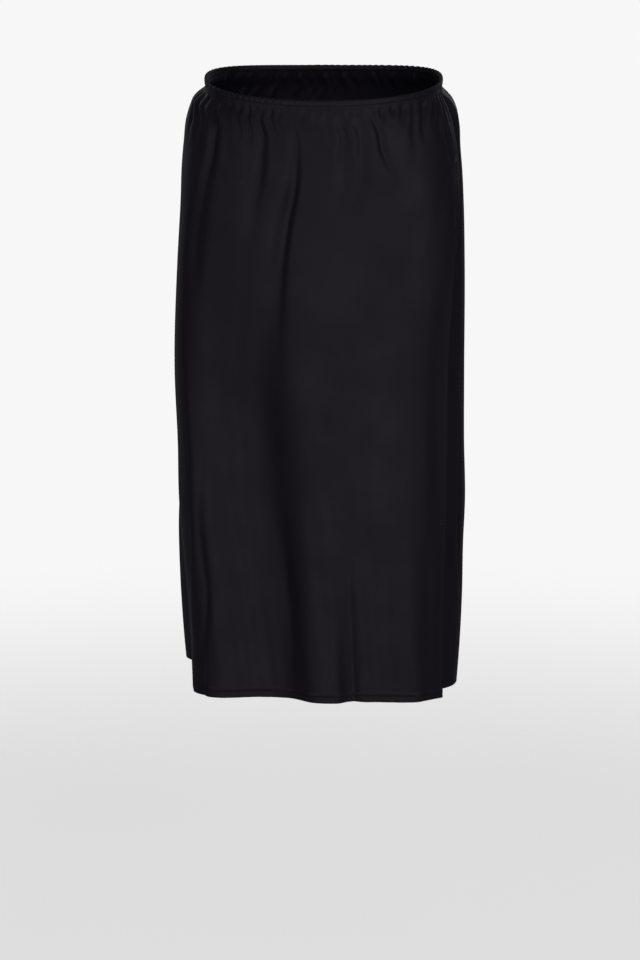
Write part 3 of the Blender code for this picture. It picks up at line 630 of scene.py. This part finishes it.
# Back panel: left and right are its half widths, front is the half depth of the two ends that
# pass behind the front panel, turn = how far the section is turned (Y for each metre of X),
# right_y = the slit edge on the right, width = the cloth from there round to the left slit edge,
# tuck_left and tuck_right = how far each end is drawn in where the front panel covers it.
BACK_COLUMNS = (
    "drop", "left", "right", "front", "back", "square", "turn", "right_y", "width",
    "tuck_left", "tuck_right")
BACK_SECTIONS = (
    (0.000, 0.1452, 0.1460, 0.1007, 0.1010, 2.15, 0.00, -0.052, 0.460, 0.0022, 0.0018),
    (0.008, 0.1465, 0.1478, 0.1015, 0.1040, 2.15, 0.00, -0.052, 0.470, 0.0042, 0.0040),
    (0.018, 0.1540, 0.1582, 0.1030, 0.1080, 2.18, 0.00, -0.053, 0.492, 0.0042, 0.0065),
    (0.029, 0.1600, 0.1642, 0.1045, 0.1110, 2.20, 0.00, -0.054, 0.515, 0.0030, 0.0085),
    (0.045, 0.1650, 0.1678, 0.1060, 0.1140, 2.25, 0.00, -0.056, 0.535, 0.0030, 0.0085),
    (0.072, 0.1690, 0.1695, 0.1070, 0.1180, 2.28, 0.01, -0.058, 0.556, 0.0030, 0.0070),
    (0.100, 0.1715, 0.1720, 0.1060, 0.1220, 2.30, 0.02, -0.060, 0.575, 0.0030, 0.0060),
    (0.140, 0.1735, 0.1742, 0.1040, 0.1265, 2.32, 0.03, -0.063, 0.590, 0.0030, 0.0050),
    (0.210, 0.1770, 0.1758, 0.0980, 0.1320, 2.35, 0.06, -0.064, 0.602, 0.0030, 0.0030),
    (0.345, 0.1800, 0.1760, 0.0900, 0.1290, 2.40, 0.12, -0.061, 0.608, 0.0010, 0.0000),
    (0.425, 0.1805, 0.1765, 0.0880, 0.1250, 2.40, 0.15, -0.058, 0.608, 0.0010, 0.0000),
    (0.500, 0.1840, 0.1780, 0.0870, 0.1230, 2.40, 0.18, -0.060, 0.608, 0.0010, 0.0000),
    (0.553, 0.1853, 0.1758, 0.0860, 0.1220, 2.38, 0.20, -0.058, 0.608, 0.0000, 0.0000),
    (0.620, 0.1843, 0.1748, 0.0810, 0.1210, 2.36, 0.23, -0.055, 0.608, 0.0000, 0.0000),
    (0.685, 0.1816, 0.1723, 0.0790, 0.1200, 2.34, 0.24, -0.053, 0.608, 0.0000, 0.0000),
    (0.728, 0.1797, 0.1696, 0.0770, 0.1200, 2.32, 0.25, -0.050, 0.608, 0.0000, 0.0000),
)
TUCK_LEFT = (0.088, 0.072)    # each end starts to be drawn in this far from its slit edge,
TUCK_RIGHT = (0.045, 0.030)   # and is fully drawn in by the second distance

# The back's gathers are as close and as uneven as the front's: how many, how far each may lie
# from its even place (share of their spacing), where the shortest ends and how much further down
# the longest does (metres), and the limits of depth and half width (millimetres).
BACK_GATHERS = 30
BACK_MOVED = 0.28
BACK_SHORTEST, BACK_LONGER = 0.022, 0.098
BACK_DEEP = (1.0, 2.8)
BACK_WIDE = (3.0, 4.4)
BACK_FINE_COUNT = 60          # shallow gathers between them

# Long folds of the back, in the same columns as the front's.
BACK_FOLDS = (
    # hollow between the seat and each side, running down to the hem
    (0.160, 0.420, 0.728, 0.330, 0.315, 0.300, 18.0, 30.0, 18.0, 30.0, 0.0, 4.0, 8.0, 2.0),
    (0.190, 0.450, 0.728, 0.620, 0.635, 0.640, 18.0, 32.0, 18.0, 26.0, 0.0, 4.5, 9.0, 2.0),
    # soft hollow below the middle of the seat, and a ridge beside it
    (0.240, 0.480, 0.728, 0.480, 0.474, 0.468, 14.0, 18.0, 14.0, 22.0, 0.0, 2.5, 5.0, 2.0),
    (0.300, 0.560, 0.728, 0.545, 0.552, 0.556, 16.0, 20.0, 16.0, 20.0, 0.0, -2.0, -4.0, 2.0),
    # upright fold in the band that shows beside the front panel's right edge
    (0.330, 0.500, 0.690, 0.948, 0.940, 0.915, 3.0, 3.5, 3.0, 3.5, 0.0, 2.0, 0.0, 2.0),
    # hollow on the left side, behind the front panel's edge
    (0.360, 0.560, 0.728, 0.130, 0.128, 0.124, 12.0, 16.0, 12.0, 16.0, 0.0, 2.0, 4.0, 2.0),
)


def back_gathers(seed):
    """Rows like those of the front's gather table.  Most are short: the drop at which one ends
    goes with the square of a random number."""
    rng = random.Random(seed)
    rows = []
    for number in range(BACK_GATHERS):
        moved = rng.uniform(-BACK_MOVED, BACK_MOVED)
        end = BACK_SHORTEST + BACK_LONGER * rng.random() ** 2
        deep, wide = rng.uniform(*BACK_DEEP), rng.uniform(*BACK_WIDE)
        rows.append(((number + 0.5 + moved) / BACK_GATHERS, 0.0, end, deep, wide))
    return rows


def back_base(across, drop):
    """The back panel without folds, from the left slit edge (0) round the back to the right one
    (1).  The ends are drawn in where the front panel covers them, and the section is turned."""
    drop = np.maximum(drop, 0)
    at = smooth_table(BACK_COLUMNS, BACK_SECTIONS, drop)
    section = (at["left"], at["right"], at["front"], at["back"], at["square"])
    last = 2 * math.pi - angle_past_side(at["right_y"], at["right"], at["front"], at["square"])
    # The left slit edge is where the given width of cloth is left before the right one.
    fine = math.pi / 2 + (last - math.pi / 2) * np.linspace(0, 1, ARC_POINTS)
    x, y = ring(fine, *section)
    still_to_go = np.cumsum(np.hypot(np.diff(x), np.diff(y))[:, ::-1], axis=1)[:, ::-1]
    nearest = np.argmin(np.abs(still_to_go - at["width"]), axis=1)[:, None]
    first = np.take_along_axis(fine, nearest, axis=1)
    x, y = ring(spread(first, last, across, section), *section)
    drawn_in = at["tuck_left"] * ease(*TUCK_LEFT, across * at["width"])
    drawn_in = drawn_in + at["tuck_right"] * ease(*TUCK_RIGHT, (1 - across) * at["width"])
    out_x, out_y = outward(x, y)
    x, y = x - drawn_in * out_x, y - drawn_in * out_y
    return x, y - at["turn"] * x


across, drop = cloth_grid(BACK_CUT, spacing=2.4 * MM)
down = drop[:, None]
back_depths = (
    gather_depth(back_gathers(seed=11), across, down, BACK_CUT)
    + gather_depth(fine_gathers(BACK_FINE_COUNT, seed=8), across, down, BACK_CUT)
    + fold_depth(BACK_FOLDS, across, down, BACK_CUT)
    + slack(across, down, BACK_CUT, seed=4))
back_points = panel_surface(
    back_base, across, drop, BACK_CUT, back_depths, BACK_HEM_LEFT, BACK_HEM_RIGHT)
back_cloth = add_cloth(
    "back_cloth", back_points, hem_wall(across, down, BACK_CUT),
    cloth_places(across, down, BACK_CUT), crepe)
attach(back_cloth, "root")
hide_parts("back_panel")
back_stitches = add_stitches("back_stitches", back_points, across, drop, BACK_CUT, black_thread)
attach(back_stitches, "root")


# ---- Waist casing -----------------------------------------------------------------------------
# A narrow tube of the same crepe, 7 mm high, holds the elastic and takes the gathered tops of
# both panels.  It is scrunched along the elastic, most of all left of the centre front.

WAIST_LEFT, WAIST_RIGHT = 0.1445, 0.1455    # half widths
WAIST_SQUARE = 2.15
CASING_THICK = 3.6 * MM
CASING_CUT = 0.86             # length of the strip, before it is scrunched
CASING_SHOWS = 0.018          # width of it that shows, round the tube
CASING_STATIONS = 1100        # grid lines round the waist,
TUBE_POINTS = 26              # and round the tube
TUBE_START, TUBE_END = 250, -70    # degrees, where the tube starts and ends at the seam
SCRUNCHES = 96                # round the waist, spaced unevenly by the drift
SCRUNCH_DRIFT = ((2.2, 3, 1.0), (1.4, 7, 2.0), (0.8, 17, 0.0))    # size, waves round, start
SCRUNCH_OUT = 0.45 * MM       # how far they stand out, and how far they lift the top edge
SCRUNCH_UP = 0.35 * MM
SCRUNCH_VARIES = 0.45         # how much weaker or stronger the scrunches get, twice round, and
SCRUNCH_VARIES_FROM = 2.6     # where in that change the right side is, in radians
SCRUNCH_AT_SEAM = 0.35        # share of their depth that is left at the seam
TUCK_AT = 0.319               # one small tuck, this share of the way round the waist: its depth,
TUCK_DEEP = 0.8 * MM          # half width, and how far to the right of its foot its top lies
TUCK_WIDE = 1.0 * MM
TUCK_SLANT = 4.5 * MM
WAIST_ROUND = 0.78            # length round the waist

# Shares of the way round the waist, from the right side by way of the front.
station = np.linspace(0, 1, CASING_STATIONS)[None, :]
waist = tuple(np.array([[size]]) for size in (
    WAIST_LEFT, WAIST_RIGHT, WAIST_FRONT, WAIST_BACK, WAIST_SQUARE))
angle = spread(np.array([[0.0]]), np.array([[2 * math.pi]]), station, waist)
waist_x, waist_y = ring(angle, *waist)
out_x, out_y = outward(waist_x, waist_y)
turn = 2 * math.pi * station
phase = SCRUNCHES * turn
for size, waves, start in SCRUNCH_DRIFT:
    phase = phase + size * np.sin(waves * turn + start)
strong = 1 - SCRUNCH_VARIES + SCRUNCH_VARIES * np.sin(2 * turn + SCRUNCH_VARIES_FROM)
# Round the tube, from the seam inside, up, over the top and down to the seam outside: a rounded
# oblong |u|^4 + |v|^4 = 1, with u out from the middle line and v up from mid height.
round_tube = np.radians(np.linspace(TUBE_START, TUBE_END, TUBE_POINTS))[:, None]
u = np.sign(np.cos(round_tube)) * np.abs(np.cos(round_tube)) ** 0.5
v = np.sign(np.sin(round_tube)) * np.abs(np.sin(round_tube)) ** 0.5
height = (1 + v) / 2
scrunch_deep = SCRUNCH_AT_SEAM + (1 - SCRUNCH_AT_SEAM) * height
reach = CASING_THICK / 2 * u + strong * SCRUNCH_OUT * np.sin(phase) * scrunch_deep
# The tuck is only in the outer face, and the top edge goes up and down only in the upper half.
from_tuck = (station - TUCK_AT) * WAIST_ROUND + TUCK_SLANT * (height - 0.5)
reach = reach - TUCK_DEEP * np.exp(-(from_tuck / TUCK_WIDE) ** 2) * ease(0.0, 0.6, u)
lift = strong * SCRUNCH_UP * np.cos(phase + turn) * ease(0.5, 1.0, height)
px, py = waist_x + reach * out_x, waist_y + reach * out_y
pz = casing_top(py) - CASING_HEIGHT * (1 - height) + lift
casing_points = np.stack((px, py, pz), axis=-1)
strip = np.linspace(0, CASING_SHOWS, TUBE_POINTS)[:, None]
casing_cloth = add_cloth(
    "casing_cloth", casing_points, np.full(px.shape, CREPE_THICK),
    cloth_places(station, strip, CASING_CUT), woven_crepe("black_crepe_scrunched"))
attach(casing_cloth, "root")
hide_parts("waist_casing")


# ---- Floor, light and camera ------------------------------------------------------------------
# A pale sheet of paper stands in for a studio floor, and the room round it is as pale; neither is
# part of the skirt.  The paper thins out to nothing away from the skirt, so it has no edge.

FLOOR = -1.065                # its height, below the waist
PAPER_HALF_WIDTH = 2.4
PAPER_LINES = 25              # grid lines each way
PAPER_SOLID, PAPER_GONE = 0.5, 2.2    # distances from the middle between which it thins out
PAPER_SHOWS = 0.3             # how solid it is in the middle

paper_line = np.linspace(-PAPER_HALF_WIDTH, PAPER_HALF_WIDTH, PAPER_LINES)
paper_x, paper_y = np.meshgrid(paper_line, paper_line)
floor_points = np.stack((paper_x, paper_y, np.full(paper_x.shape, FLOOR)), axis=-1)
floor_quads = grid_quads(np.arange(paper_x.size).reshape(paper_x.shape))


def thin_paper(name, colour):
    """Matt white tracing paper: it lets most of the pale room through, but takes a soft shadow,
    and is quite clear past PAPER_GONE."""
    material = bpy.data.materials.new(name)
    material.use_nodes = True
    tree = material.node_tree
    shader = tree.nodes["Principled BSDF"]
    place = add_node(tree, "ShaderNodeTexCoord", {})
    level = add_node(tree, "ShaderNodeMapping", {
        "Vector": (place, "Object"), "Scale": (1.0, 1.0, 0.0)})
    far = add_node(tree, "ShaderNodeVectorMath", {"Vector": (level, "Vector")}, operation="LENGTH")
    solid = add_node(tree, "ShaderNodeMapRange", {
        "Value": (far, "Value"), "From Min": PAPER_SOLID, "From Max": PAPER_GONE,
        "To Min": PAPER_SHOWS, "To Max": 0.0}, interpolation_type="SMOOTHSTEP")
    tree.links.new(solid.outputs["Result"], shader.inputs["Alpha"])
    shader.inputs["Base Color"].default_value = linear(colour)
    shader.inputs["Roughness"].default_value = 0.9
    return material


floor = add_mesh(
    "studio_floor", floor_points.reshape(-1, 3), floor_quads,
    thin_paper("studio_paper", "#f7f7f6"))


def add_softbox(name, at, toward, size, power):
    """A square soft light of so many metres and watts, turned to face a point."""
    lamp = bpy.data.lights.new(name, "AREA")
    lamp.shape, lamp.size, lamp.energy = "SQUARE", size, power
    box = bpy.data.objects.new(name, lamp)
    box.location = at
    aim = np.array(toward, float) - np.array(at, float)
    tilt = math.pi / 2 + math.atan2(aim[2], math.hypot(aim[0], aim[1]))
    box.rotation_euler = (tilt, 0.0, math.atan2(-aim[0], aim[1]))
    box.visible_camera = False
    bpy.context.scene.collection.objects.link(box)


# The low light in front gives the flat cloth its dull shine, the two beside it round off the
# sides, and the two behind show the back.
add_softbox("key_light", (-0.1, -3.1, -0.85), (0, 0, -0.5), 1.0, 14)
add_softbox("right_light", (1.9, -2.6, 0.8), (0, 0, -0.2), 1.0, 21)
add_softbox("left_light", (-1.9, -2.6, 0.8), (0, 0, -0.2), 1.0, 13)
add_softbox("back_right_light", (1.7, 2.7, 0.9), (0, 0, -0.25), 1.2, 8)
add_softbox("back_left_light", (-1.7, 2.7, 0.9), (0, 0, -0.25), 1.2, 6)

# The room is pale to look at, but the cloth is lit by the soft boxes and hardly by the room.
ROOM_SEEN, ROOM_LIGHT = 0.93, 0.10
world = bpy.data.worlds.new("studio_room")
world.use_nodes = True
seen = add_node(world.node_tree, "ShaderNodeLightPath", {})
strength = add_node(world.node_tree, "ShaderNodeMapRange", {
    "Value": (seen, "Is Camera Ray"), "To Min": ROOM_LIGHT, "To Max": ROOM_SEEN})
room = world.node_tree.nodes["Background"]
room.inputs["Color"].default_value = linear("#ffffff")
world.node_tree.links.new(strength.outputs["Result"], room.inputs["Strength"])
bpy.context.scene.world = world
bpy.context.scene.view_settings.view_transform = "Standard"    # keeps the cloth a true black

CAMERA_AT = (-0.004, -3.30, 0.15)
CAMERA_DOWN = 10.925          # degrees
CAMERA_LENS, CAMERA_SENSOR = 99.375, 36.0    # millimetres

camera_data = bpy.data.cameras.new("camera")
camera_data.lens, camera_data.sensor_width = CAMERA_LENS, CAMERA_SENSOR
camera = bpy.data.objects.new("camera", camera_data)
camera.location = CAMERA_AT
camera.rotation_euler = (math.radians(90 - CAMERA_DOWN), 0.0, 0.0)
bpy.context.scene.collection.objects.link(camera)
bpy.context.scene.camera = camera
